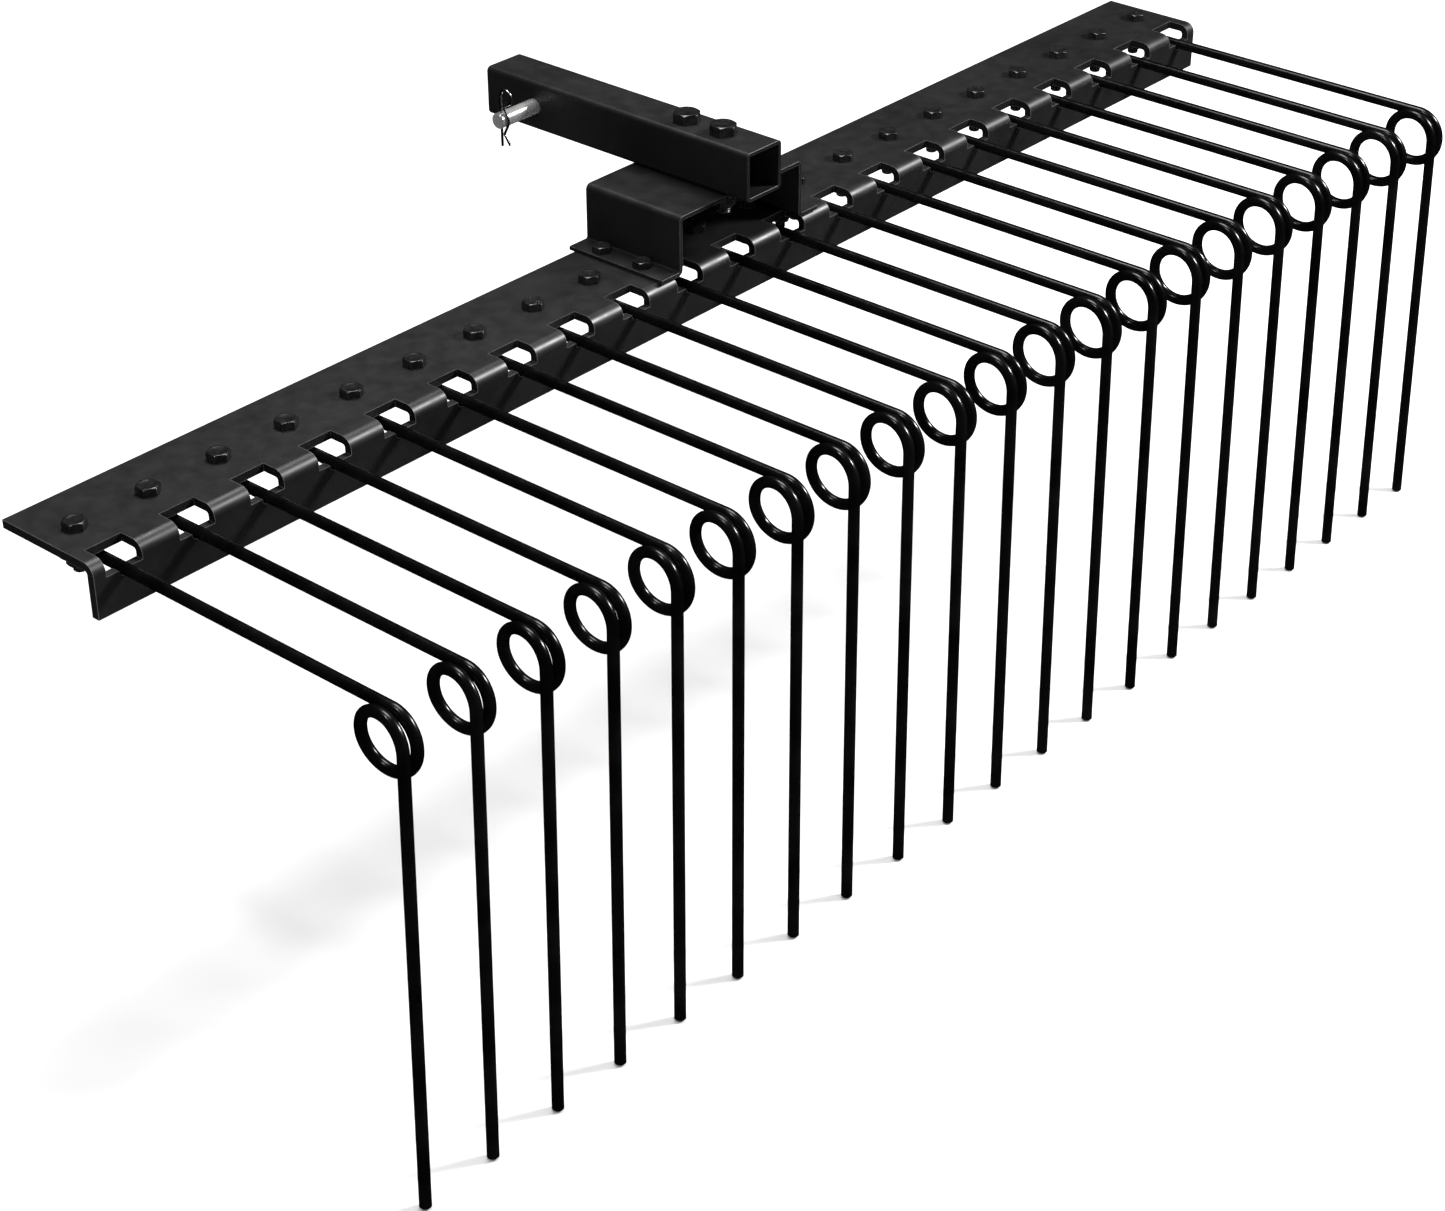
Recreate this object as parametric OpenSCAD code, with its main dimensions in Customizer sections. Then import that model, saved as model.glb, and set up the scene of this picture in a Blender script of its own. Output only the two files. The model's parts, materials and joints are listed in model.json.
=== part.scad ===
// Spring-tine lawn dethatcher on a 2 inch receiver shank.
// +X runs along the rake bar, +Y points to the towing vehicle, +Z is up.
// The origin is the centre of the hitch-pin hole, on the shank's axis.

/* [Tines] */
// Number of tines along the bar
tine_count = 21; // [5:2:21]
// Distance from one tine to the next
tine_pitch = 76.2; // [74:0.1:90]
// Diameter of the spring wire
wire_d = 10.5; // [8:0.1:11]
// Distance from the bar's lip to the centre of the coils
coil_reach = 307; // [200:1:400]
// Mean radius of the coil
coil_r = 27; // [18:0.5:30]
// Sideways travel of the wire in one turn of the coil
coil_lead = 13.3; // [12.8:0.1:18]
// Height of a tine from its arm down to its tip
tine_drop = 420; // [250:1:500]
// Backward lean of the lower leg, as run over drop
leg_lean = 0.089; // [0:0.001:0.15]
// Sideways lean of the lower leg, as run over drop
leg_cant = 0.103; // [0.05:0.001:0.13]
// Angle that a leg may spring back through
flex_angle = 15; // [5:1:20]

/* [Rake bar] */
// Distance from the outermost tine to the bar's end
bar_end = 31; // [28:0.5:60]
// Depth of the bar's top flange
flange_d = 114.5; // [110:0.5:140]
// Height of the bar's lip
lip_h = 50.5; // [40:0.5:80]
// Thickness of the bar's plate
bar_t = 8; // [6:0.5:10]
// Inside radius of the bend
bend_r = 3; // [2:0.5:6]
// Width of the slot that each arm passes through
slot_w = 37; // [24:0.5:44]
// Depth of the slot in the top flange
slot_d = 25; // [16:0.5:30]

/* [Hitch bracket] */
// Outside width across the bracket's legs
bracket_w = 180; // [180:1:184]
// Width across the bracket's feet
foot_w = 230; // [230:1:240]
// Height of the bracket above the bar
bracket_h = 60; // [56:1:90]
// Depth of the bracket along the shank
bracket_d = 120; // [110:1:130]
// Thickness of the bracket's plate
bracket_t = 4; // [3:0.5:5]

/* [Shank] */
// Outside width of the square shank
shank_w = 50; // [44:0.5:50.8]
// Wall thickness of the shank
shank_t = 4; // [3:0.5:5]
// Length of the shank
shank_len = 341.5; // [320:0.5:420]
// Distance from the hitch-pin hole to the shank's leading end
pin_to_end = 64.5; // [50:0.5:80]
// Distance from the hitch-pin hole back to the bar's lip
pin_to_lip = 250.5; // [240:0.5:300]

/* [Hitch pin] */
// Diameter of the hitch pin
pin_d = 15.9; // [12:0.1:15.9]
// Distance from the pin's axis to its free end
pin_reach = 77; // [74:1:90]
// Length of the pin's straight handle
pin_handle = 42; // [30:1:60]
// Diameter of the clip's wire
clip_d = 2.6; // [2:0.1:3]

/* [Hidden] */
$fn = 48;
eps = 0.5;

// Seams between a wire's straights and bends: half length, gap, and extra thickness
seam_l = 0.3;
seam_gap = 0.1;
seam_d = 0.1;

// Bar frame: lip's outer face and top flange's upper face, seen from the pin hole
bar_y = -pin_to_lip;
bar_z = -bracket_h - shank_w / 2;
bar_len = (tine_count - 1) * tine_pitch + 2 * bar_end;
bend_out = bend_r + bar_t;
tine_x = [for (i = [0:tine_count - 1]) (i - (tine_count - 1) / 2) * tine_pitch];

// Fasteners: [shank diameter, hole diameter, width across flats, head height, nut height]
M10 = [10, 11, 17, 6.4, 8.4];
M12 = [12, 13, 19, 7.5, 10.8];
M16 = [16, 17.5, 24, 10, 14.8];

// Tine bolts, and what is stacked under the flange
tine_bolt_y = 60;
tine_bolt_len = 40;
eye_washer_d = 34;
spacer_t = 2;
washer_t = 2.5;
arm_z = -bar_t - spacer_t - wire_d / 2;
eye_r = M12[0] / 2 + wire_d / 2 + 0.9;
crook_r = 15;
crook_angle = acos(crook_r / (crook_r + eye_r));
crook_y = tine_bolt_y - sqrt(pow(crook_r + eye_r, 2) - pow(crook_r, 2));
eye_tail = 48;
eye_sweep = 180 + crook_angle + eye_tail;
eye_corners = 4;
notch_r = wire_d / 2 + 1;

// Coil: a bent wire that runs down the front, up the back and down the front again
coil_y = -coil_reach;
coil_z = arm_z - coil_r;
side = coil_lead / 4;
split_room = 5;
split_gap = flex_angle + split_room;
bend = coil_r - 0.1;
leg_top = [-coil_lead, coil_y - coil_r + leg_lean * coil_r, arm_z];
leg_tip = leg_top + tine_drop * [-leg_cant, -leg_lean, -1];

// Bracket
bracket_y = 1;
bracket_in = 2;
foot_bolts = [for (sx = [-1, 1], y = [38, 90]) [sx * (foot_w + bracket_w) / 4, y]];
foot_bolt_len = 30;
foot_washer_d = 20;

// Shank
shank_corner = 5;
shank_bolts = [25, 71];
shank_bolt_len = 80;
shank_washer = [30, 3];
pin_hole_d = pin_d + 0.7;

// Hitch pin and its clip
pin_bend_x = 31;
pin_bend_r = 18;
pin_chamfer = 1.2;
clip_x = -pin_reach + 6;
clip_hole_d = clip_d + 0.8;
clip_top = 32;
clip_leg = 27.5;
clip_loop_r = 7;
clip_wrap = 56;
clip_knee = 16;
clip_crook_r = 4;
clip_wave_r = 2.5;
clip_leg_trim = 3;

function tag(index) = str(index < 9 ? "0" : "", index + 1);
ARM_NODES = [for (i = [0:tine_count - 1]) str("tine_arm_", tag(i))];
LEG_NODES = [for (i = [0:tine_count - 1]) str("tine_leg_", tag(i))];

// ---- Helpers ----

function unit(v) = v / norm(v);

// Angle that a wire turns through at corner i of a path
function turn(p, i) = acos(unit(p[i] - p[i - 1]) * unit(p[i + 1] - p[i]));

// Bend radius at corner i: r is one radius for all corners or a list with one for each
function radius(r, i) = is_list(r) ? r[i - 1] : r;

// Length that the bend at corner i takes from each side of it
function setback(p, i, r) = i == 0 || i == len(p) - 1 ? 0 : radius(r, i) * tan(turn(p, i) / 2);

// A round rod from a to b
module rod(a, b, d) {
    v = b - a;
    translate(a)
        rotate([0, atan2(norm([v[0], v[1]]), v[2]), atan2(v[1], v[0])])
            cylinder(h = norm(v), d = d);
}

// The bend at corner i of a path
module elbow(p, i, r, d) {
    u = unit(p[i] - p[i - 1]);
    w = unit(p[i + 1] - p[i]);
    n = unit(cross(u, w));
    out = cross(u, n);
    c = p[i] - setback(p, i, r) * u - radius(r, i) * out;
    multmatrix([
        [out[0], u[0], n[0], c[0]],
        [out[1], u[1], n[1], c[1]],
        [out[2], u[2], n[2], c[2]],
        [0, 0, 0, 1]])
        rotate_extrude(angle = turn(p, i))
            translate([radius(r, i), 0])
                circle(d = d);
}

// The straight stretch from a to b between two bends. It stops just short of each bend,
// and a seam ring a little thicker than the wire joins them. A very short one is all ring.
module straight(a, b, d, ring_a, ring_b) {
    u = unit(b - a);
    if (norm(b - a) < 4 * seam_l) {
        rod(a - seam_l * u, b + seam_l * u, d + seam_d);
    } else {
        rod(ring_a ? a + seam_gap * u : a, ring_b ? b - seam_gap * u : b, d);
        if (ring_a) rod(a - seam_l * u, a + seam_l * u, d + seam_d);
        if (ring_b) rod(b - seam_l * u, b + seam_l * u, d + seam_d);
    }
}

// Wire of diameter d along the corners p, bent to radius r at the inner ones
module wire(p, r, d) {
    last = len(p) - 1;
    for (i = [0:last - 1]) {
        u = unit(p[i + 1] - p[i]);
        straight(p[i] + setback(p, i, r) * u, p[i + 1] - setback(p, i + 1, r) * u,
            d, i > 0, i + 1 < last);
    }
    for (i = [1:1:last - 1]) elbow(p, i, r, d);
}

// Hexagon prism with its upper rim turned to a 30 degree chamfer, flats facing +X and -X
module hex_body(flats, h) {
    corner_r = flats / sqrt(3);
    land_r = flats / 2 * 0.95;
    drop = (corner_r - land_r) * tan(30);
    intersection() {
        rotate([0, 0, 30]) cylinder(h = h, r = corner_r, $fn = 6);
        union() {
            cylinder(h = h - drop, r = corner_r);
            translate([0, 0, h - drop]) cylinder(h = drop, r1 = corner_r, r2 = land_r);
        }
    }
}

// Hexagon bolt, head above z = 0 and shank below it
module bolt(size, length) {
    tip = size[0] / 10;
    hex_body(size[2], size[3]);
    translate([0, 0, -length + tip]) cylinder(h = length - tip + eps, d = size[0]);
    translate([0, 0, -length]) cylinder(h = tip, d1 = size[0] - 2 * tip, d2 = size[0]);
}

// Hexagon nut hanging below z = 0
module nut(size) {
    difference() {
        mirror([0, 0, 1]) hex_body(size[2], size[4]);
        translate([0, 0, -size[4] - eps]) cylinder(h = size[4] + 2 * eps, d = size[0] + 0.2);
    }
}

// Flat washer hanging below z = 0
module washer(size, outer_d, t) {
    translate([0, 0, -t])
        difference() {
            cylinder(h = t, d = outer_d);
            translate([0, 0, -eps]) cylinder(h = t + 2 * eps, d = size[1]);
        }
}

// Quarter ring, from +X round to +Y
module bend_section(r_in, r_out) {
    intersection() {
        difference() {
            circle(r = r_out);
            circle(r = r_in);
        }
        square(r_out + eps);
    }
}

// Square with rounded corners, centred on the origin
module round_square(w, r) {
    square([w - 2 * r, w], center = true);
    square([w, w - 2 * r], center = true);
    for (sx = [-1, 1], sy = [-1, 1]) translate([sx, sy] * (w / 2 - r)) circle(r = r);
}

// Moves its children into the bar's frame
module on_bar() {
    translate([0, bar_y, bar_z]) children();
}

// Puts its children at each tine's bolt, at height z on the bar
module at_tines(z) {
    on_bar() for (x = tine_x) translate([x, tine_bolt_y, z]) children();
}

// Puts its children at each bolt of the bracket's feet, at height z on the bar
module at_feet(z) {
    on_bar() for (p = foot_bolts) translate([p[0], p[1], z]) children();
}

// Puts its children at each bolt of the shank, at height z on the bar
module at_shank(z) {
    on_bar() for (y = shank_bolts) translate([0, y, z]) children();
}

// ---- Bar ----

module bar_section() {
    translate([bend_out, -bar_t]) square([flange_d - bend_out, bar_t]);
    translate([0, -lip_h]) square([bar_t, lip_h - bend_out]);
    translate([bend_out, -bend_out]) mirror([1, 0]) bend_section(bend_r, bend_out);
}

// Opening for one arm: a slot across the bend, with a notch that the wire rests in
module arm_slot() {
    translate([-slot_w / 2, -eps, arm_z]) cube([slot_w, slot_d + eps, eps - arm_z]);
    translate([0, -eps, arm_z]) rotate([-90, 0, 0]) cylinder(h = bar_t + 2 * eps, r = notch_r);
}

module main_bar() {
    color("dimgray") on_bar() difference() {
        translate([-bar_len / 2, 0, 0])
            rotate([90, 0, 90])
                linear_extrude(bar_len) bar_section();
        for (x = tine_x) translate([x, 0, 0]) {
            arm_slot();
            translate([0, tine_bolt_y, -bar_t - eps]) cylinder(h = bar_t + 2 * eps, d = M12[1]);
        }
        for (p = foot_bolts) translate([p[0], p[1], -bar_t - eps])
            cylinder(h = bar_t + 2 * eps, d = M10[1]);
    }
}

// ---- Bracket ----

// One half of the hat section, from the middle of its top out to the foot
module bracket_half() {
    in = bracket_in;
    out = bracket_in + bracket_t;
    half = bracket_w / 2;
    translate([-eps, bracket_h - bracket_t]) square([half - out + eps, bracket_t]);
    translate([half - out, bracket_h - out]) bend_section(in, out);
    translate([half - bracket_t, out]) square([bracket_t, bracket_h - 2 * out]);
    translate([half + in, out]) rotate(180) bend_section(in, out);
    translate([half + in, 0]) square([foot_w / 2 - half - in, bracket_t]);
}

module hitch_bracket() {
    color("dimgray") on_bar() difference() {
        translate([0, bracket_y + bracket_d, 0])
            rotate([90, 0, 0])
                linear_extrude(bracket_d) {
                    bracket_half();
                    mirror([1, 0]) bracket_half();
                }
        for (y = shank_bolts) translate([0, y, bracket_h - bracket_t - eps])
            cylinder(h = bracket_t + 2 * eps, d = M16[1]);
        for (p = foot_bolts) translate([p[0], p[1], -eps])
            cylinder(h = bracket_t + 2 * eps, d = M10[1]);
    }
}

module bracket_bolts() {
    color("black") at_feet(bracket_t) bolt(M10, foot_bolt_len);
}

module bracket_washers() {
    color("black") at_feet(-bar_t) washer(M10, foot_washer_d, spacer_t);
}

module bracket_nuts() {
    color("black") at_feet(-bar_t - spacer_t) nut(M10);
}

// ---- Shank ----

module hitch_shank() {
    bottom = -shank_w / 2;
    color("dimgray") difference() {
        translate([0, pin_to_end, 0])
            rotate([90, 0, 0])
                linear_extrude(shank_len)
                    difference() {
                        round_square(shank_w, shank_corner);
                        round_square(shank_w - 2 * shank_t, shank_corner - shank_t);
                    }
        translate([bottom - eps, 0, 0])
            rotate([0, 90, 0])
                cylinder(h = shank_w + 2 * eps, d = pin_hole_d);
        for (y = shank_bolts) translate([0, bar_y + y, bottom - eps])
            cylinder(h = shank_w + 2 * eps, d = M16[1]);
    }
}

module shank_bolts() {
    color("black") at_shank(bracket_h + shank_w) bolt(M16, shank_bolt_len);
}

module shank_washers() {
    color("black") at_shank(bracket_h - bracket_t) washer(M16, shank_washer[0], shank_washer[1]);
}

module shank_nuts() {
    color("black") at_shank(bracket_h - bracket_t - shank_washer[1]) nut(M16);
}

// ---- Hitch pin and clip ----

module hitch_pin() {
    body_end = -pin_reach + pin_chamfer;
    corner = pin_bend_x + pin_bend_r;
    path = [[body_end, 0, 0], [corner, 0, 0], [corner, 0, -pin_bend_r - pin_handle]];
    color("silver") difference() {
        union() {
            wire(path, pin_bend_r, pin_d);
            translate([-pin_reach, 0, 0])
                rotate([0, 90, 0])
                    cylinder(h = pin_chamfer, d1 = pin_d - 2 * pin_chamfer, d2 = pin_d);
        }
        translate([clip_x, 0, -pin_d]) cylinder(h = 2 * pin_d, d = clip_hole_d);
    }
}

// R-shaped clip: a straight leg through the pin, a loop, and a leg waved round the pin
module hitch_clip() {
    hug_r = pin_d / 2 + clip_d / 2 + 0.3;
    crest = hug_r / cos(clip_wrap / 2);
    knee = [crest - clip_knee * sin(clip_wrap / 2), clip_knee * cos(clip_wrap / 2)];
    outline = [
        [0, -clip_leg],
        [0, clip_top],
        [2 * clip_loop_r, clip_top],
        [2 * clip_loop_r, clip_top - 1.6 * clip_loop_r],
        knee,
        [crest, 0],
        [knee[0], -knee[1]],
        [crest, clip_leg_trim - clip_leg]];
    loop_bend = clip_loop_r - 1.5 * seam_gap;
    radii = [loop_bend, loop_bend, clip_crook_r, clip_wave_r, hug_r, clip_wave_r];
    color("lightgray")
        wire([for (p = outline) [clip_x, -p[0], p[1]]], radii, clip_d);
}

// ---- Tines ----

module tine_bolts() {
    color("black") at_tines(0) bolt(M12, tine_bolt_len);
}

module tine_spacers() {
    color("black") at_tines(-bar_t) washer(M12, eye_washer_d, spacer_t);
}

module tine_washers() {
    color("black") at_tines(arm_z - wire_d / 2) washer(M12, eye_washer_d, washer_t);
}

module tine_nuts() {
    color("black") at_tines(arm_z - wire_d / 2 - washer_t) nut(M12);
}

// Corner k of the eye, outside the circle that the wire follows round the bolt
function eye_corner(k) =
    let (step = eye_sweep / eye_corners, a = 180 + crook_angle - eye_sweep + (k + 0.5) * step)
    [eye_r / cos(step / 2) * cos(a), tine_bolt_y + eye_r / cos(step / 2) * sin(a), arm_z];

// Eye round the bolt, crook that brings the wire into line, arm, and three quarters of the coil
module tine_arm(index) {
    front = coil_y - coil_r;
    back = coil_y + coil_r;
    low = coil_z - coil_r;
    eye_start = 180 + crook_angle - eye_sweep;
    path = concat(
        [[eye_r * cos(eye_start), tine_bolt_y + eye_r * sin(eye_start), arm_z]],
        [for (k = [0:eye_corners - 1]) eye_corner(k)],
        [[0, crook_y + crook_r * tan(crook_angle / 2), arm_z],
         [0, front, arm_z],
         [-side, front, low],
         [-2 * side, back, low],
         [-2.5 * side, back, coil_z]]);
    radii = concat([for (k = [1:eye_corners]) eye_r - 1.5 * seam_gap], [crook_r, bend, bend, bend]);
    color("black") on_bar() translate([tine_x[index], 0, 0]) wire(path, radii, wire_d);
}

// The last half turn of the coil, and the leg down to the tip
module tine_leg(index) {
    left = 90 - split_gap;
    reach = coil_r * tan(left / 2);
    path = [
        [-2.5 * side, coil_y + coil_r * cos(split_gap), coil_z + coil_r * sin(split_gap)],
        [-3 * side, coil_y + reach, arm_z],
        leg_top,
        leg_tip];
    color("black") on_bar() translate([tine_x[index], 0, 0]) wire(path, bend, wire_d);
}

main_bar();
hitch_bracket();
bracket_bolts();
bracket_washers();
bracket_nuts();
hitch_shank();
shank_bolts();
shank_washers();
shank_nuts();
hitch_pin();
hitch_clip();
tine_bolts();
tine_spacers();
tine_washers();
tine_nuts();
for (i = [0:tine_count - 1]) {
    tine_arm(i);
    tine_leg(i);
}
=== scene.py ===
"""Looks of a spring-tine lawn dethatcher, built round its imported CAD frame."""

import json
import math

import bmesh
import bpy
import numpy as np
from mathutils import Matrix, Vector


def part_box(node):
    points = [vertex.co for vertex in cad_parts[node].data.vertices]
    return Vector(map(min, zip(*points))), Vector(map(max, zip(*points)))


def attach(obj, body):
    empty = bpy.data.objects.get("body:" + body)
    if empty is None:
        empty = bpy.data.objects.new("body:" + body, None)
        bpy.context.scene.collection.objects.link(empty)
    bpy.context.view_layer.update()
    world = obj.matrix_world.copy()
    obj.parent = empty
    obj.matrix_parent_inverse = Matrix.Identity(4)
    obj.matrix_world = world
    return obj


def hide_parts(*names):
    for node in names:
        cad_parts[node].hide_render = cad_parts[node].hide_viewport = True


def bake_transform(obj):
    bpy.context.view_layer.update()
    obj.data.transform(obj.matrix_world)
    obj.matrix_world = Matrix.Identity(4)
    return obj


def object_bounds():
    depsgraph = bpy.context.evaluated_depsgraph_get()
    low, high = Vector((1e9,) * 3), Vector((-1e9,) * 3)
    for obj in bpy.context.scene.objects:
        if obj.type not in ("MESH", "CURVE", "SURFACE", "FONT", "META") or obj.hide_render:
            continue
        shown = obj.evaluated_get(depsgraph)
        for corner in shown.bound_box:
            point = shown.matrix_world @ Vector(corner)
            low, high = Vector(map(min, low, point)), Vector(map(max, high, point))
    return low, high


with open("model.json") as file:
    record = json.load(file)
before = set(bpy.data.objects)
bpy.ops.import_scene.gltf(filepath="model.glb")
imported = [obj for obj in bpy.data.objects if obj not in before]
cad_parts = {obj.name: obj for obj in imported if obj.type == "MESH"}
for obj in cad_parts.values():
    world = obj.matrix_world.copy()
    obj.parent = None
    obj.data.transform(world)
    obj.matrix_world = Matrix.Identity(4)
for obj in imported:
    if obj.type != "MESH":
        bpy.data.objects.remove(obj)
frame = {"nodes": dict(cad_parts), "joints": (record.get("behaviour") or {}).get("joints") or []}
cad_low, cad_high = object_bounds()

MM = 0.001
RAKE = "rake_frame"

# Spring wire: travel of one coil turn, leans of the leg, eye round the bolt, crook after it, and the
# wire's sides, end chamfer and angle between rings in a bend
COIL_LEAD = 13.3 * MM
LEG_LEAN = 0.089
LEG_CANT = 0.103
EYE_GAP = 0.9 * MM
EYE_TAIL = math.radians(48)
EYE_CORNERS = 4
CROOK_R = 15 * MM
WIRE_SIDES = 24
WIRE_END = 1.2 * MM
ARC_STEP = math.radians(5)

# Fasteners: thread diameter, pitch, width across flats, head height, nut height
M10 = {"d": 10 * MM, "pitch": 1.5 * MM, "flats": 17 * MM, "head": 6.4 * MM, "nut": 8.4 * MM}
M12 = {"d": 12 * MM, "pitch": 1.75 * MM, "flats": 19 * MM, "head": 7.5 * MM, "nut": 10.8 * MM}
M16 = {"d": 16 * MM, "pitch": 2 * MM, "flats": 24 * MM, "head": 10 * MM, "nut": 14.8 * MM}
SIDES = 60
LAND = 0.95
CHAMFER = math.tan(math.radians(30))
THREAD_DEPTH = 0.58
RINGS_PER_TURN = 8

# Hitch clip: loop radius, angle and reach of the wave that hugs the pin, its gap to the pin, the bends
# on either side of the wave, the loop's drop and what the waved leg is shorter
CLIP_LOOP_R = 7 * MM
CLIP_WRAP = math.radians(56)
CLIP_KNEE = 16 * MM
CLIP_HUG_GAP = 0.3 * MM
CLIP_CROOK_R = 4 * MM
CLIP_WAVE_R = 2.5 * MM
CLIP_LOOP_DROP = 0.8
CLIP_LEG_TRIM = 3 * MM
CLIP_SLACK = 0.05 * MM
CLIP_SIDES = 16
CLIP_END = 0.4 * MM

# Sheet and tube: bends of the bar and bracket, tube corner, slots across the bar's bend, rounding of cut
# edges, the bracket leg's distance from the middle and the tube's wall
BAR_BEND = 3 * MM
BRACKET_BEND = 2 * MM
TUBE_CORNER = 5 * MM
SLOT_W = 37 * MM
SLOT_D = 25 * MM
NOTCH_GAP = 1 * MM
EDGE_R = 0.6 * MM
BRACKET_LEG = 90 * MM
TUBE_WALL = 4 * MM
ARC_STEPS = 12
HOLE_SIDES = 64
BEVEL_ANGLE = math.radians(40)

# Play between a bolt and its hole on each side, the shank bolts' own, and the pin's in the shank
BOLT_PLAY = 0.5 * MM
SHANK_BOLT_PLAY = 0.75 * MM
PIN_PLAY = 0.35 * MM

# Thread that shows above its nut, rounding of the pin
THREAD_ABOVE = 0.5 * MM
PIN_EDGE_R = 0.25 * MM

# Floor's half width, and the strength of the world's light
FLOOR_REACH = 12
WORLD_LIGHT = 0.6

# View: degrees round and above the object, metres from the point looked at
AZIMUTH = -49.25
ELEVATION = 31.72
DISTANCE = 2.9
AIM = Vector((-0.107, -0.317, -0.4153))
LENS = 73.19


# ---- Mesh tools ----

def unit(v):
    return v / np.linalg.norm(v)


def make_object(name, vertices, faces, material, smooth_angle=38):
    """A mesh object with outward faces, smooth but for edges sharper than smooth_angle degrees."""
    mesh = bpy.data.meshes.new(name)
    mesh.from_pydata([tuple(v) for v in vertices], [], faces)
    bm = bmesh.new()
    bm.from_mesh(mesh)
    bmesh.ops.recalc_face_normals(bm, faces=bm.faces)
    limit = math.radians(smooth_angle)
    for face in bm.faces:
        face.smooth = True
    for edge in bm.edges:
        edge.smooth = len(edge.link_faces) == 2 and edge.calc_face_angle() < limit
    bm.to_mesh(mesh)
    bm.free()
    mesh.materials.append(material)
    made = bpy.data.objects.new(name, mesh)
    bpy.context.scene.collection.objects.link(made)
    return made


def rounded_route(corners, radii):
    """Points along straights between the corners, with each inner corner turned to an arc."""
    corners = [np.array(c, float) for c in corners]
    points = [corners[0]]
    for before, corner, after, radius in zip(corners, corners[1:], corners[2:], radii):
        u, w = unit(corner - before), unit(after - corner)
        angle = math.acos(np.clip(u @ w, -1, 1))
        out = np.cross(u, unit(np.cross(u, w)))
        centre = corner - radius * math.tan(angle / 2) * u - radius * out
        steps = max(2, math.ceil(angle / ARC_STEP))
        for k in range(steps + 1):
            a = angle * k / steps
            points.append(centre + radius * (math.cos(a) * out + math.sin(a) * u))
    points.append(corners[-1])
    kept = [points[0]]
    for p in points[1:]:
        if np.linalg.norm(p - kept[-1]) > 0.05 * MM:
            kept.append(p)
    return kept


def wire_rings(points, radius, end):
    """Centre, direction and radius of each ring of a wire whose two ends are chamfered."""
    count = len(points)
    tangents = [unit(points[min(i + 1, count - 1)] - points[max(i - 1, 0)]) for i in range(count)]
    first, last = tangents[0], tangents[-1]
    rings = [(points[0], first, radius - end), (points[0] + end * first, first, radius)]
    rings += [(p, t, radius) for p, t in zip(points[1:-1], tangents[1:-1])]
    rings += [(points[-1] - end * last, last, radius), (points[-1], last, radius - end)]
    return rings


def wire(name, points, radius, material, sides=WIRE_SIDES, end=WIRE_END):
    """Round wire along the points, carried without twist from ring to ring."""
    rings = wire_rings(points, radius, end)
    side = unit(np.cross(rings[0][1], [0.3, 0.2, 0.9]))
    vertices, faces = [], []
    for centre, tangent, r in rings:
        side = unit(side - (side @ tangent) * tangent)
        up = np.cross(tangent, side)
        for k in range(sides):
            a = 2 * math.pi * k / sides
            vertices.append(centre + r * (math.cos(a) * side + math.sin(a) * up))
    for i in range(len(rings) - 1):
        for k in range(sides):
            a, b = i * sides + k, i * sides + (k + 1) % sides
            faces.append((a, b, b + sides, a + sides))
    faces.append(tuple(range(sides)))
    faces.append(tuple(range(len(vertices) - sides, len(vertices))))
    return make_object(name, vertices, faces, material)


ANGLES = np.arange(SIDES) * 2 * math.pi / SIDES


def hex_radius(flats):
    """Distance from the axis to a hexagon's side at each angle, flats facing +X and -X."""
    sector = math.pi / 3
    return flats / 2 / np.cos((ANGLES + sector / 2) % sector - sector / 2)


def ring(radius, z):
    """One ring of a turned shape: the radius and height at each angle."""
    return np.broadcast_to(radius, SIDES), np.broadcast_to(z, SIDES)


def turned(name, rings, places, material, looped=False):
    """The turned shape through the rings, once at each place. A looped one has a hole through it."""
    vertices, faces = [], []
    for place in places:
        start = len(vertices)
        for radius, z in rings:
            points = np.stack([radius * np.cos(ANGLES), radius * np.sin(ANGLES), z], axis=1)
            vertices.extend(points + np.array(place))
        last = len(rings) if looped else len(rings) - 1
        for i in range(last):
            low, high = start + i * SIDES, start + (i + 1) % len(rings) * SIDES
            for k in range(SIDES):
                n = (k + 1) % SIDES
                faces.append((low + k, low + n, high + n, high + k))
        if not looped:
            faces.append(tuple(range(start, start + SIDES)))
            faces.append(tuple(range(len(vertices) - SIDES, len(vertices))))
    return make_object(name, vertices, faces, material)


def hex_rim(size, height, turn):
    """Rings from a hexagon's side over its chamfer to the round land. turn is 1 upward, -1 downward."""
    side = hex_radius(size["flats"])
    land = size["flats"] / 2 * LAND
    soft = 0.3 * MM
    crest = height - turn * (side - land) * CHAMFER
    return [
        ring(side, crest - turn * soft),
        ring(side - 0.25 * soft, crest - turn * 0.1 * soft),
        ring(side - soft, crest + turn * soft * CHAMFER),
        ring(land, height - turn * 0.02 * MM),
        ring(land - soft, height),
    ]


def thread(size, top, tip):
    """Rings of a helical thread from top down to tip, with the tip's chamfer."""
    depth = THREAD_DEPTH * size["pitch"]
    count = math.ceil((top - tip) / size["pitch"] * RINGS_PER_TURN)
    rings = []
    for i in range(count + 1):
        z = top + (tip - top) * i / count
        phase = (z / size["pitch"] + ANGLES / (2 * math.pi)) % 1
        groove = np.clip(1.3 * (1 - np.abs(2 * phase - 1)) - 0.15, 0, 1)
        limit = size["d"] / 2 - depth + (z - tip)
        rings.append(ring(np.minimum(size["d"] / 2 - depth * groove, limit), z))
    return rings


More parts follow.
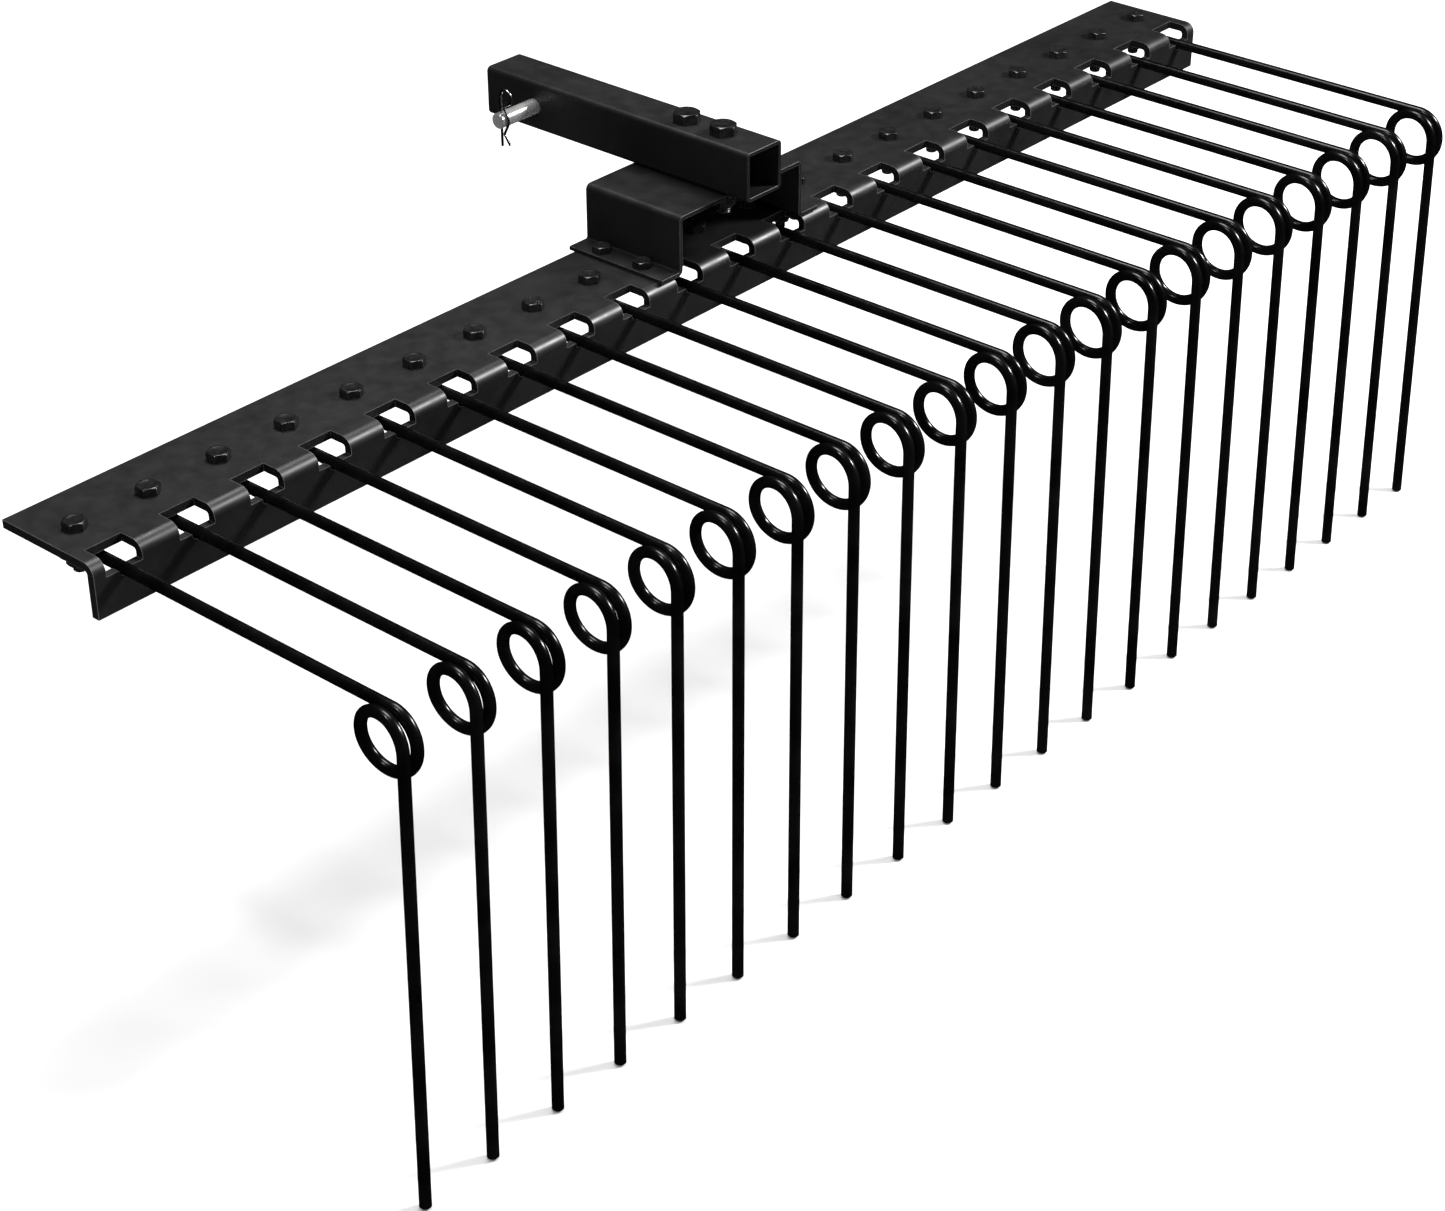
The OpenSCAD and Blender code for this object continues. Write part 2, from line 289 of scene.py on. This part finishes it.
def hex_bolts(name, size, length, thread_top, places, material):
    """Hexagon bolts with a washer face, a dished head and a thread below thread_top."""
    side = hex_radius(size["flats"])
    face = size["flats"] / 2 * LAND
    dish = 0.3 * MM
    rings = list(reversed(thread(size, thread_top, -length)))
    rings += [
        ring(size["d"] / 2, thread_top + 0.2 * MM),
        ring(size["d"] / 2, 0),
        ring(face, 0),
        ring(face, 0.4 * MM),
        ring(side - 0.3 * MM, 0.4 * MM),
        ring(side, 0.7 * MM),
    ]
    rings += hex_rim(size, size["head"], 1)
    rings += [ring(face * 0.8, size["head"]), ring(face * 0.72, size["head"] - dish)]
    rings += [ring(face * 0.3, size["head"] - 1.2 * dish)]
    return turned(name, rings, places, material)


def hex_nuts(name, size, places, material):
    """Hexagon nuts that hang below their places, chamfered at both ends and countersunk."""
    bore = size["d"] / 2 + 0.1 * MM
    sink = bore + 0.6 * MM
    low = -size["nut"]
    rings = [ring(bore, -0.6 * MM), ring(sink, 0)]
    rings += list(reversed(hex_rim(size, 0, 1)))
    rings += hex_rim(size, low, -1)
    rings += [ring(sink, low), ring(bore, low + 0.6 * MM)]
    return turned(name, rings, places, material, looped=True)


def washers(name, outer_r, hole_r, thickness, places, material):
    """Stamped washers below their places: a rounded upper rim and a crisper lower one."""
    soft, crisp = 0.5 * MM, 0.2 * MM
    rings = [
        ring(hole_r, -crisp),
        ring(hole_r + crisp, 0),
        ring(outer_r - soft, 0),
        ring(outer_r - 0.3 * soft, -0.3 * soft),
        ring(outer_r, -soft),
        ring(outer_r, -thickness + crisp),
        ring(outer_r - crisp, -thickness),
        ring(hole_r + crisp, -thickness),
        ring(hole_r, -thickness + crisp),
    ]
    return turned(name, rings, places, material, looped=True)


def arc(centre, radius, start, end):
    """Points of an arc from start to end degrees."""
    turns = [math.radians(start + (end - start) * k / ARC_STEPS) for k in range(ARC_STEPS + 1)]
    return [(centre[0] + radius * math.cos(a), centre[1] + radius * math.sin(a)) for a in turns]


def prism(outlines, low, high, axes):
    """Solids from closed outlines, extruded from low to high. axes place the outline's two
    directions and the extrusion's: "yzx" draws in Y and Z and extrudes along X."""
    order = ["xyz".index(c) for c in axes]
    vertices, faces = [], []
    for outline in outlines:
        start, count = len(vertices), len(outline)
        for depth in (low, high):
            for a, b in outline:
                point = [0, 0, 0]
                for index, value in zip(order, (a, b, depth)):
                    point[index] = value
                vertices.append(point)
        faces.append(tuple(range(start, start + count)))
        faces.append(tuple(range(start + count, start + 2 * count)))
        for k in range(count):
            n = (k + 1) % count
            faces.append((start + k, start + n, start + count + n, start + count + k))
    return vertices, faces


def circle(centre, radius):
    turns = [2 * math.pi * k / HOLE_SIDES for k in range(HOLE_SIDES)]
    return [(centre[0] + radius * math.cos(a), centre[1] + radius * math.sin(a)) for a in turns]


def cut(part, vertices, faces):
    """Takes a solid away from a part and applies the result to its mesh."""
    cutter = make_object("cutter", vertices, faces, part.data.materials[0])
    boolean = part.modifiers.new("cut", "BOOLEAN")
    boolean.operation = "DIFFERENCE"
    boolean.solver = "EXACT"
    boolean.object = cutter
    graph = bpy.context.evaluated_depsgraph_get()
    mesh = bpy.data.meshes.new_from_object(part.evaluated_get(graph))
    part.modifiers.clear()
    part.data = mesh
    bpy.data.objects.remove(cutter)


def round_edges(part, width):
    """Bevels the edges that are sharper than BEVEL_ANGLE."""
    bevel = part.modifiers.new("bevel", "BEVEL")
    bevel.width = width
    bevel.segments = 2
    bevel.limit_method = "ANGLE"
    bevel.angle_limit = BEVEL_ANGLE


# ---- Materials ----

class Nodes:
    """A material and short ways to add nodes to it."""

    def __init__(self, name):
        self.material = bpy.data.materials.new(name)
        self.material.use_nodes = True
        self.tree = self.material.node_tree
        self.shader = self.tree.nodes["Principled BSDF"]
        self.place = self.add("ShaderNodeTexCoord").outputs["Object"]

    def add(self, kind, **settings):
        node = self.tree.nodes.new(kind)
        for key, value in settings.items():
            setattr(node, key, value)
        return node

    def link(self, source, target):
        self.tree.links.new(source, target)

    def noise(self, scale, detail=2.0, stretch=(1, 1, 1)):
        """Noise with scale cells to the metre, drawn out along an axis by stretch."""
        mapping = self.add("ShaderNodeMapping")
        mapping.inputs["Scale"].default_value = stretch
        self.link(self.place, mapping.inputs["Vector"])
        noise = self.add("ShaderNodeTexNoise")
        noise.inputs["Scale"].default_value = scale
        noise.inputs["Detail"].default_value = detail
        self.link(mapping.outputs["Vector"], noise.inputs["Vector"])
        return noise.outputs["Fac"]

    def spread(self, value, low, high, to_low=0.0, to_high=1.0):
        """The value's range low to high, mapped and clamped to another range."""
        node = self.add("ShaderNodeMapRange")
        node.clamp = True
        node.inputs["From Min"].default_value = low
        node.inputs["From Max"].default_value = high
        node.inputs["To Min"].default_value = to_low
        node.inputs["To Max"].default_value = to_high
        self.link(value, node.inputs["Value"])
        return node.outputs["Result"]

    def maths(self, operation, a, b):
        node = self.add("ShaderNodeMath", operation=operation)
        for socket, value in zip(node.inputs, (a, b)):
            if isinstance(value, (int, float)):
                socket.default_value = value
            else:
                self.link(value, socket)
        return node.outputs["Value"]

    def mix(self, share, a, b):
        """Colour between a and b. Each is a grey or RGB tuple, or another node's output."""
        node = self.add("ShaderNodeMix", data_type="RGBA")
        self.link(share, node.inputs["Factor"])
        for socket, value in zip((node.inputs[6], node.inputs[7]), (a, b)):
            if isinstance(value, tuple):
                socket.default_value = (*value, 1)
            else:
                self.link(value, socket)
        return node.outputs[2]

    def edges(self, radius, low, high):
        """Share that is 1 on edges narrower than radius and 0 on open faces, broken up by noise."""
        bevel = self.add("ShaderNodeBevel", samples=6)
        bevel.inputs["Radius"].default_value = radius
        geometry = self.add("ShaderNodeNewGeometry")
        dot = self.add("ShaderNodeVectorMath", operation="DOT_PRODUCT")
        self.link(bevel.outputs["Normal"], dot.inputs[0])
        self.link(geometry.outputs["Normal"], dot.inputs[1])
        turned_away = self.maths("SUBTRACT", 1.0, dot.outputs["Value"])
        patchy = self.spread(self.noise(45, 3), 0.35, 0.65, 0.55, 1.0)
        return self.maths("MULTIPLY", self.spread(turned_away, low, high), patchy)

    def bump(self, height, strength, distance):
        node = self.add("ShaderNodeBump")
        node.inputs["Strength"].default_value = strength
        node.inputs["Distance"].default_value = distance
        self.link(height, node.inputs["Height"])
        self.link(node.outputs["Normal"], self.shader.inputs["Normal"])

    def set(self, **values):
        for key, value in values.items():
            socket = self.shader.inputs[key.replace("_", " ")]
            if isinstance(value, (int, float)):
                socket.default_value = value
            else:
                self.link(value, socket)


def powder_coat():
    """Satin black powder coat: orange peel, soft tone changes and a painted highlight along the edges."""
    n = Nodes("powder_coat")
    tone = n.mix(n.spread(n.noise(9, 4), 0.3, 0.7), (0.006, 0.006, 0.0065), (0.011, 0.011, 0.0115))
    # Painted highlight: the edges are mixed towards a light grey so that they look lit.
    colour = n.mix(n.edges(1.2 * MM, 0.03, 0.22), tone, (0.17, 0.17, 0.172))
    roughness = n.spread(n.noise(60, 4), 0.3, 0.7, 0.36, 0.46)
    n.set(Base_Color=colour, Roughness=roughness, Specular_IOR_Level=0.6)
    n.bump(n.noise(1100, 2), 0.10, 0.12 * MM)
    return n.material


def tine_enamel():
    """Gloss black dip enamel on spring wire, a little thicker and thinner along its length."""
    n = Nodes("tine_enamel")
    colour = n.mix(n.spread(n.noise(25, 3), 0.35, 0.7), (0.0012, 0.0012, 0.0013), (0.004, 0.004, 0.0045))
    roughness = n.spread(n.noise(120, 3), 0.3, 0.7, 0.16, 0.26)
    n.set(Base_Color=colour, Roughness=roughness, Specular_IOR_Level=0.3)
    n.bump(n.noise(180, 2), 0.12, 0.2 * MM)
    return n.material


def black_fastener():
    """Glossy black oxide, with a painted highlight along the hexagons' edges."""
    n = Nodes("black_fastener")
    tone = n.mix(n.spread(n.noise(140, 3), 0.35, 0.7), (0.006, 0.006, 0.0065), (0.016, 0.016, 0.017))
    # Painted highlight: the hexagons' edges are mixed towards a mid grey so that they look lit.
    colour = n.mix(n.edges(0.5 * MM, 0.02, 0.2), tone, (0.11, 0.11, 0.11))
    roughness = n.spread(n.noise(400, 3), 0.3, 0.7, 0.2, 0.32)
    n.set(Base_Color=colour, Roughness=roughness, Specular_IOR_Level=0.6)
    n.bump(n.noise(1500, 2), 0.08, 0.06 * MM)
    return n.material


def zinc():
    """Bright zinc plate with the faint turning marks of a drawn bar."""
    n = Nodes("zinc")
    colour = n.mix(n.spread(n.noise(60, 4), 0.3, 0.7), (0.56, 0.57, 0.57), (0.74, 0.74, 0.72))
    roughness = n.spread(n.noise(500, 3, (3, 0.4, 0.4)), 0.3, 0.7, 0.16, 0.3)
    n.set(Base_Color=colour, Roughness=roughness, Metallic=0.75)
    n.bump(n.noise(700, 2, (3, 0.3, 0.3)), 0.08, 0.05 * MM)
    return n.material


def spring_clip():
    """Bright drawn spring wire with fine lines along it."""
    n = Nodes("spring_clip")
    colour = n.mix(n.spread(n.noise(200, 3), 0.3, 0.7), (0.34, 0.34, 0.34), (0.56, 0.56, 0.55))
    roughness = n.spread(n.noise(900, 2), 0.3, 0.7, 0.2, 0.34)
    n.set(Base_Color=colour, Roughness=roughness, Metallic=1.0)
    n.bump(n.noise(1800, 2, (1, 1, 0.15)), 0.1, 0.04 * MM)
    return n.material


def pale_floor():
    n = Nodes("pale_floor")
    colour = n.mix(n.spread(n.noise(1.5, 2), 0.3, 0.7), (0.86, 0.86, 0.86), (0.88, 0.88, 0.88))
    n.set(Base_Color=colour, Roughness=0.8, Specular_IOR_Level=0.1)
    return n.material


# ---- Pieces ----

def finish_plate(part, node, width=EDGE_R):
    """Rounds a plate's cut edges, keeps its flats flat and puts it in its node's place."""
    for face in part.data.polygons:
        face.use_smooth = True
    round_edges(part, width)
    normals = part.modifiers.new("normals", "WEIGHTED_NORMAL")
    normals.weight = 100
    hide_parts(node)
    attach(part, RAKE)


def group_places(node, size, both_x):
    """Centres of the fasteners of a group, one at each corner of its box."""
    low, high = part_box(node)
    half, corner = size["flats"] / 2, size["flats"] / math.sqrt(3)
    columns = (low.x + half, high.x - half) if both_x else ((low.x + high.x) / 2,)
    return [(x, y) for x in columns for y in (low.y + corner, high.y - corner)]


def tine_places():
    low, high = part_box("tine_bolts")
    xs = [j["pos_m"][0] for j in frame["joints"] if j["type"] == "hinge"]
    return [(x, (low.y + high.y) / 2) for x in xs]


def make_bar(material):
    """The bent bar: flange, bend and lip, a slot with a notch for each arm, and its bolt holes."""
    low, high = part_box("main_bar")
    plate = high.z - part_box("tine_spacers")[1].z
    wire_top, wire_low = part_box("tine_spacers")[0].z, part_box("tine_washers")[1].z
    arm_z, notch_r = (wire_top + wire_low) / 2, (wire_top - wire_low) / 2 + NOTCH_GAP
    outer = BAR_BEND + plate
    centre = (low.y + outer, high.z - outer)
    section = [(high.y, high.z), *arc(centre, outer, 90, 180), (low.y, low.z),
               (low.y + plate, low.z), *arc(centre, BAR_BEND, 180, 90), (high.y, high.z - plate)]
    bar = make_object("rake_bar", *prism([section], low.x, high.x, "yzx"), material)
    slots = []
    for x in [place[0] for place in tine_places()]:
        notch = arc((x, arm_z), notch_r, 180, 360)
        slots.append([(x - SLOT_W / 2, high.z + plate), (x - SLOT_W / 2, arm_z), *notch,
                      (x + SLOT_W / 2, arm_z), (x + SLOT_W / 2, high.z + plate)])
    cut(bar, *prism(slots, low.y - plate, low.y + SLOT_D, "xzy"))
    holes = [circle(c, M12["d"] / 2 + BOLT_PLAY) for c in tine_places()]
    holes += [circle(c, M10["d"] / 2 + BOLT_PLAY) for c in group_places("bracket_bolts", M10, True)]
    cut(bar, *prism(holes, high.z - 2 * plate, high.z + plate, "xyz"))
    finish_plate(bar, "main_bar")


def make_bracket(material):
    """The hat-shaped bracket: two feet, two legs and a top, bent from one strip."""
    low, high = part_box("hitch_bracket")
    foot_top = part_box("bracket_bolts")[1].z - M10["head"]
    plate = foot_top - low.z
    inner, outer = BRACKET_BEND, BRACKET_BEND + plate
    leg = BRACKET_LEG
    half = [(0, high.z), *arc((leg - outer, high.z - outer), outer, 90, 0),
            *arc((leg + inner, low.z + outer), inner, 180, 270), (high.x, low.z + plate),
            (high.x, low.z), *arc((leg + inner, low.z + outer), outer, 270, 180),
            *arc((leg - outer, high.z - outer), inner, 0, 90), (0, high.z - plate)]
    mirrored = [(-x, z) for x, z in reversed(half[1:-1])]
    bracket = make_object("bracket_plate", *prism([half + mirrored], low.y, high.y, "xzy"), material)
    feet = [circle(c, M10["d"] / 2 + BOLT_PLAY) for c in group_places("bracket_bolts", M10, True)]
    cut(bracket, *prism(feet, low.z - plate, low.z + 2 * plate, "xyz"))
    top = [circle(c, M16["d"] / 2 + SHANK_BOLT_PLAY) for c in group_places("shank_bolts", M16, False)]
    cut(bracket, *prism(top, high.z - 2 * plate, high.z + plate, "xyz"))
    finish_plate(bracket, "hitch_bracket", EDGE_R / 2)


def tube_outline(half, corner):
    """Square of half width half with round corners."""
    reach = half - corner
    return [p for k, (x, z) in enumerate(((1, 1), (-1, 1), (-1, -1), (1, -1)))
            for p in arc((x * reach, z * reach), corner, 90 * k, 90 * k + 90)]


def make_shank(material):
    """The square tube, open at both ends, drilled for the hitch pin and its two bolts."""
    low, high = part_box("hitch_shank")
    pin_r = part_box("hitch_pin")[1].z
    wall = TUBE_WALL
    shank = make_object("shank_tube", *prism([tube_outline(high.z, TUBE_CORNER)], low.y, high.y, "xzy"),
                        material)
    cut(shank, *prism([tube_outline(high.z - wall, TUBE_CORNER - wall)], low.y - wall, high.y + wall,
                      "xzy"))
    cut(shank, *prism([circle((0, 0), pin_r + PIN_PLAY)], low.x - wall, high.x + wall, "yzx"))
    bolts = [circle(c, M16["d"] / 2 + SHANK_BOLT_PLAY) for c in group_places("shank_bolts", M16, False)]
    cut(shank, *prism(bolts, low.z - wall, high.z + wall, "xyz"))
    finish_plate(shank, "hitch_shank")


def soften(node, width):
    """Rounds the sharp edges of a CAD node that stays."""
    part = frame["nodes"][node]
    weld = part.modifiers.new("weld", "WELD")
    weld.merge_threshold = 0.002 * MM
    flat = part.modifiers.new("flat", "DECIMATE")
    flat.decimate_type = "DISSOLVE"
    flat.angle_limit = math.radians(0.5)
    round_edges(part, width)
    part.modifiers.new("normals", "WEIGHTED_NORMAL")


def paint(node, material):
    for slot in frame["nodes"][node].material_slots:
        slot.material = material


def make_tines(material):
    """Each tine as the one piece of wire that it is, from its eye to its tip."""
    tines = [j for j in frame["joints"] if j["type"] == "hinge"]
    bolt_low, bolt_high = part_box("tine_bolts")
    bolt_y = (bolt_low.y + bolt_high.y) / 2
    washer_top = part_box("tine_washers")[1].z
    wire_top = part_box("tine_spacers")[0].z
    wire_r = (wire_top - washer_top) / 2
    arm_z = (wire_top + washer_top) / 2
    for number, joint in enumerate(tines, 1):
        x, coil_y, coil_z = joint["pos_m"]
        tip_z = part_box(f"tine_leg_{number:02d}")[0].z
        points, radii = tine_corners(bolt_y, arm_z, wire_r, coil_y, coil_z, tip_z)
        route = [p + np.array([x, 0, 0]) for p in rounded_route(points, radii)]
        tine = wire(f"tine_{number:02d}", route, wire_r, material)
        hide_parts(f"tine_arm_{number:02d}", f"tine_leg_{number:02d}")
        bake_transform(tine)


def tine_corners(bolt_y, arm_z, wire_r, coil_y, coil_z, tip_z):
    """Corners and bend radii of one tine's wire, seen from its bolt: eye, crook, arm, coil and leg."""
    eye_r = M12["d"] / 2 + wire_r + EYE_GAP
    crook = math.acos(CROOK_R / (CROOK_R + eye_r))
    crook_y = bolt_y - math.sqrt((CROOK_R + eye_r) ** 2 - CROOK_R ** 2)
    sweep = math.pi + crook + EYE_TAIL
    eye_start = math.pi + crook - sweep
    step = sweep / EYE_CORNERS
    points = [(eye_r * math.cos(eye_start), bolt_y + eye_r * math.sin(eye_start), arm_z)]
    for k in range(EYE_CORNERS):
        a, r = eye_start + (k + 0.5) * step, eye_r / math.cos(step / 2)
        points.append((r * math.cos(a), bolt_y + r * math.sin(a), arm_z))
    points.append((0, crook_y + CROOK_R * math.tan(crook / 2), arm_z))
    coil_r = arm_z - coil_z
    side = COIL_LEAD / 4
    front, back, low = coil_y - coil_r, coil_y + coil_r, coil_z - coil_r
    top = (-COIL_LEAD, front + LEG_LEAN * coil_r, arm_z)
    drop = arm_z - tip_z - wire_r * LEG_CANT
    tip = (top[0] - LEG_CANT * drop, top[1] - LEG_LEAN * drop, arm_z - drop)
    points += [(0, front, arm_z), (-side, front, low), (-2 * side, back, low)]
    points += [(-3 * side, back, arm_z), top, tip]
    bend = coil_r - 0.1 * MM
    return points, [eye_r] * EYE_CORNERS + [CROOK_R] + [bend] * 5


def make_fasteners(material):
    """Bolts, washers and nuts, at the centres that the CAD groups have."""
    stack(M12, "tine", tine_places(), ["tine_spacers", "tine_washers"], material)
    stack(M10, "bracket", group_places("bracket_bolts", M10, True), ["bracket_washers"], material)
    stack(M16, "shank", group_places("shank_bolts", M16, False), ["shank_washers"], material)


def stack(size, group, centres, washer_nodes, material):
    """One group's bolts, with their washers and nuts below."""
    low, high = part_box(f"{group}_bolts")
    nut_low, nut_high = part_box(f"{group}_nuts")
    seat = high.z - size["head"]
    bolts = hex_bolts(f"{group}_bolt_set", size, seat - low.z, nut_low.z - seat + THREAD_ABOVE,
                      [(x, y, seat) for x, y in centres], material)
    nuts = hex_nuts(f"{group}_nut_set", size, [(x, y, nut_high.z) for x, y in centres], material)
    made = [(bolts, f"{group}_bolts"), (nuts, f"{group}_nuts")]
    spread = max(y for _, y in centres) - min(y for _, y in centres)
    for node in washer_nodes:
        low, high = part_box(node)
        piece = washers(f"{node}_set", (high.y - low.y - spread) / 2, size["d"] / 2 + BOLT_PLAY,
                        high.z - low.z, [(x, y, high.z) for x, y in centres], material)
        made.append((piece, node))
    for piece, node in made:
        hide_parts(node)
        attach(piece, RAKE)


def make_clip(material):
    """The R-shaped hitch clip: a straight leg through the pin, a loop and a waved leg round the pin."""
    low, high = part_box("hitch_clip")
    pin_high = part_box("hitch_pin")[1]
    clip_r = (high.x - low.x) / 2
    x = (low.x + high.x) / 2
    top = high.z - clip_r
    hug_r = pin_high.z + clip_r + CLIP_HUG_GAP
    crest = hug_r / math.cos(CLIP_WRAP / 2)
    reach, rise = CLIP_KNEE * math.sin(CLIP_WRAP / 2), CLIP_KNEE * math.cos(CLIP_WRAP / 2)
    loop = 2 * CLIP_LOOP_R
    outline = [(0, low.z), (0, top), (loop, top), (loop, top - CLIP_LOOP_DROP * loop), (crest - reach, rise),
               (crest, 0), (crest - reach, -rise), (crest, low.z + CLIP_LEG_TRIM)]
    radii = [CLIP_LOOP_R - CLIP_SLACK] * 2 + [CLIP_CROOK_R, CLIP_WAVE_R, hug_r, CLIP_WAVE_R]
    clip = wire("hitch_clip_wire", rounded_route([(x, -y, z) for y, z in outline], radii),
                clip_r, material, sides=CLIP_SIDES, end=CLIP_END)
    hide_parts("hitch_clip")
    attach(clip, "hitch_clip")


# ---- Stage ----

def make_stage():
    mesh = bpy.data.meshes.new("floor")
    reach, z = FLOOR_REACH, cad_low.z
    mesh.from_pydata([(-reach, -reach, z), (reach, -reach, z), (reach, reach, z), (-reach, reach, z)],
                     [], [(0, 1, 2, 3)])
    mesh.materials.append(pale_floor())
    floor = bpy.data.objects.new("floor", mesh)
    bpy.context.scene.collection.objects.link(floor)
    floor.visible_glossy = False


def add_light(name, toward, distance, size, power):
    """A soft light that shines on the middle of the object from the direction toward."""
    middle = (cad_low + cad_high) / 2
    data = bpy.data.lights.new(name, "AREA")
    data.shape = "DISK"
    data.size = size
    data.energy = power
    light = bpy.data.objects.new(name, data)
    back = Vector(toward).normalized()
    light.location = middle + distance * back
    light.rotation_mode = "QUATERNION"
    light.rotation_quaternion = (-back).to_track_quat("-Z", "Y")
    bpy.context.scene.collection.objects.link(light)


def make_lights():
    """A bright world for soft light all round, one key from the front right and a softer one above.
    The world and floor stay out of reflections, so that black gloss stays black but for the lamps."""
    world = bpy.data.worlds.new("studio")
    world.use_nodes = True
    world.node_tree.nodes["Background"].inputs["Color"].default_value = (1, 1, 1, 1)
    world.node_tree.nodes["Background"].inputs["Strength"].default_value = WORLD_LIGHT
    bpy.context.scene.world = world
    world.cycles_visibility.glossy = False
    add_light("key", (0.62, -0.5, 0.62), 3.4, 0.7, 150)
    add_light("above", (0.15, 0.2, 1), 3.0, 1.4, 60)
    add_light("glint", (-0.5, 0.1, 0.85), 3.0, 0.25, 14)


def make_camera():
    data = bpy.data.cameras.new("camera")
    data.lens = LENS
    data.sensor_width = 36
    data.clip_end = 50
    camera = bpy.data.objects.new("camera", data)
    a, e = math.radians(AZIMUTH), math.radians(ELEVATION)
    back = Vector((math.sin(a) * math.cos(e), -math.cos(a) * math.cos(e), math.sin(e)))
    camera.location = AIM + DISTANCE * back
    camera.rotation_mode = "QUATERNION"
    camera.rotation_quaternion = (-back).to_track_quat("-Z", "Y")
    bpy.context.scene.collection.objects.link(camera)
    bpy.context.scene.camera = camera


make_camera()
coat, enamel, black = powder_coat(), tine_enamel(), black_fastener()
make_bar(coat)
make_bracket(coat)
make_shank(coat)
soften("hitch_pin", PIN_EDGE_R)
paint("hitch_pin", zinc())
make_tines(enamel)
make_fasteners(black)
make_clip(spring_clip())
make_stage()
make_lights()
bpy.context.scene.view_settings.view_transform = "Standard"
